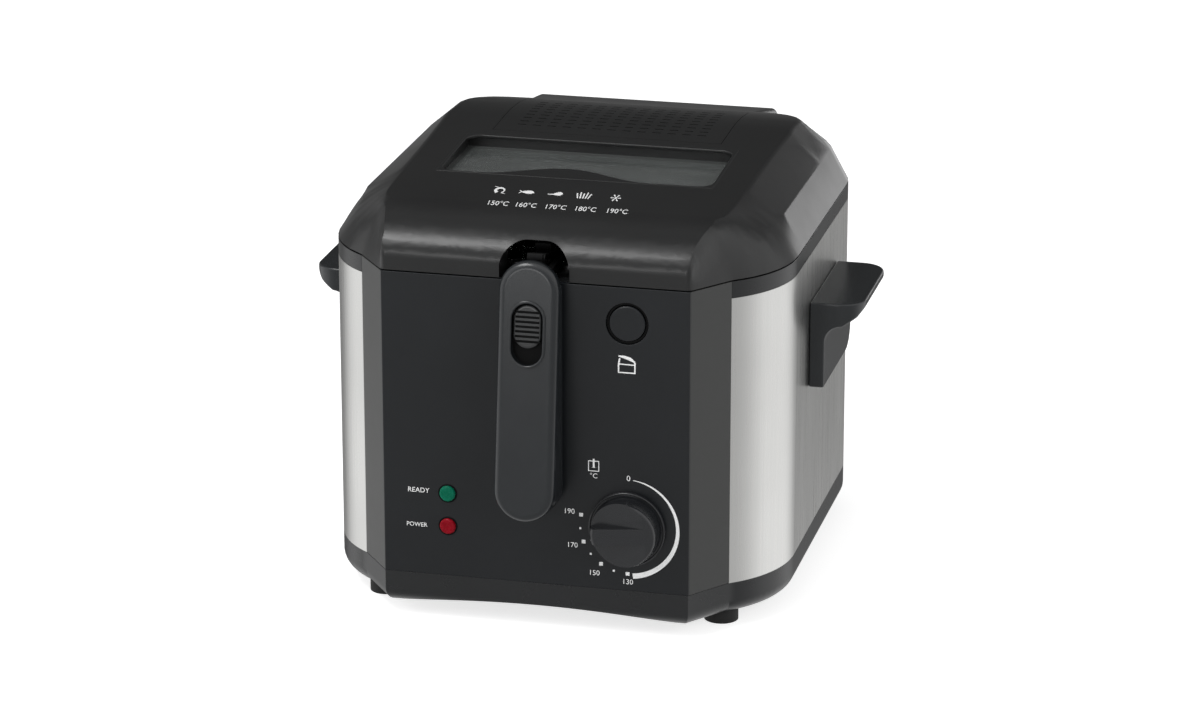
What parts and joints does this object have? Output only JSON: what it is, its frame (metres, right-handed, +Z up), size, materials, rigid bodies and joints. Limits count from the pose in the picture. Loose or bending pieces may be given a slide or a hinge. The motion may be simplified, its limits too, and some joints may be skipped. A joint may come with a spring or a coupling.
{
  "type": "deep fryer",
  "caption": "Countertop deep fryer: hinged black lid with window, steel sides, black front with dial, lamps and lid button, and a wire basket raised by a folding front handle.",
  "frame": {"origin": "middle of the part's box, on the surface that its feet stand on", "axes": "+Z up; -Y to the front with the controls; +X to the right as seen from the front"},
  "size_m": [0.334, 0.3424, 0.2486],
  "materials": {
    "panel_plastic": "fine satin texture",
    "base_plastic": "fine satin texture",
    "collar_plastic": "fine satin texture",
    "lid_plastic": "satin",
    "handle_plastic": "satin",
    "slider_plastic": "satin, ribbed",
    "knob_plastic": "semi-gloss",
    "inner_plastic": "plain moulded",
    "steel_skin": "upright brushing",
    "bowl_coating": "non-stick coating",
    "heater_steel": "mill finish",
    "lid_liner": "pressed sheet",
    "pin_steel": "turned",
    "basket_wire": "bright wire",
    "foot_rubber": "matte",
    "seal_rubber": "matte",
    "window_glass": "clear",
    "filter_felt": "felted fibre",
    "green_lens": "clear tinted",
    "red_lens": "clear tinted"
  },
  "bodies": {
    "housing": {"base_tray": "base_plastic", "rubber_feet": "foot_rubber", "base_screws": "pin_steel", "cord_gland": "inner_plastic", "terminal_block": "inner_plastic", "front_panel": "panel_plastic", "steel_wrap": "steel_skin", "top_collar": "collar_plastic", "hinge_pin": "pin_steel", "left_carry_handle": "handle_plastic", "right_carry_handle": "handle_plastic", "oil_bowl": "bowl_coating", "heating_element": "heater_steel", "heat_shield": "heater_steel", "thermal_fuse": "heater_steel", "thermostat_body": "inner_plastic", "green_lamp_lens": "green_lens", "red_lamp_lens": "red_lens", "lamp_holder": "inner_plastic", "button_bezel": "panel_plastic", "button_guide": "inner_plastic", "button_spring": "pin_steel", "latch_plate": "pin_steel", "lift_housing": "inner_plastic", "housing_screws": "pin_steel", "handle_pivot_pin": "pin_steel", "lift_arm_pin": "pin_steel"},
    "lid": {"lid_shell": "lid_plastic", "filter_cover": "lid_plastic", "filter_pad": "filter_felt", "window_gasket": "seal_rubber", "lid_window": "window_glass", "lid_inner_plate": "lid_liner", "lid_screws": "pin_steel", "lid_seal": "seal_rubber", "lid_latch_hook": "inner_plastic"},
    "lid_button": {"lid_button": "panel_plastic"},
    "control_knob": {"control_knob": "knob_plastic", "thermostat_shaft": "pin_steel"},
    "basket_handle": {"handle_grip": "handle_plastic", "handle_back_cover": "handle_plastic", "handle_knuckle": "inner_plastic"},
    "handle_slider": {"handle_slider": "slider_plastic"},
    "lift_arm": {"lift_arm": "inner_plastic", "lift_cross_pin": "pin_steel"},
    "basket": {"basket_floor": "basket_wire", "basket_front": "basket_wire", "basket_rear": "basket_wire", "basket_left": "basket_wire", "basket_right": "basket_wire", "basket_rim": "basket_wire", "basket_bracket": "basket_wire"}
  },
  "joints": [
    {"name": "lid_hinge", "type": "hinge", "parent": "housing", "child": "lid", "pos_m": [0, 0.14168, 0.217], "axis": [-1, 0, 0], "range_deg": [0, 90]},
    {"name": "lid_button_press", "type": "slide", "parent": "housing", "child": "lid_button", "axis": [0, 1, 0], "range_m": [0, 0.003], "stiffness_N_per_m": 400},
    {"name": "dial_turn", "type": "hinge", "parent": "housing", "child": "control_knob", "pos_m": [0.0545, -0.14132, 0.0664], "axis": [0, 1, 0], "range_deg": [-268, 17]},
    {"name": "handle_fold", "type": "hinge", "parent": "housing", "child": "basket_handle", "pos_m": [0, -0.13832, 0.212], "axis": [-1, 0, 0], "range_deg": [0, 90]},
    {"name": "handle_slider_slide", "type": "slide", "parent": "basket_handle", "child": "handle_slider", "axis": [0, -0.1219, -0.9925], "range_m": [0, 0.0085]},
    {"name": "lift_arm_swing", "type": "hinge", "parent": "housing", "child": "lift_arm", "pos_m": [0, -0.11132, 0.212], "axis": [1, 0, 0], "range_deg": [0, 72]},
    {"name": "basket_lift", "type": "slide", "parent": "housing", "child": "basket", "axis": [0, 0, 1], "range_m": [0, 0.03879]}
  ],
  "couplings": [
    {"joint": "lift_arm_swing", "follows": "handle_fold", "ratio": 0.8},
    {"joint": "basket_lift", "follows": "handle_fold", "m_per_rad": 0.024696}
  ]
}
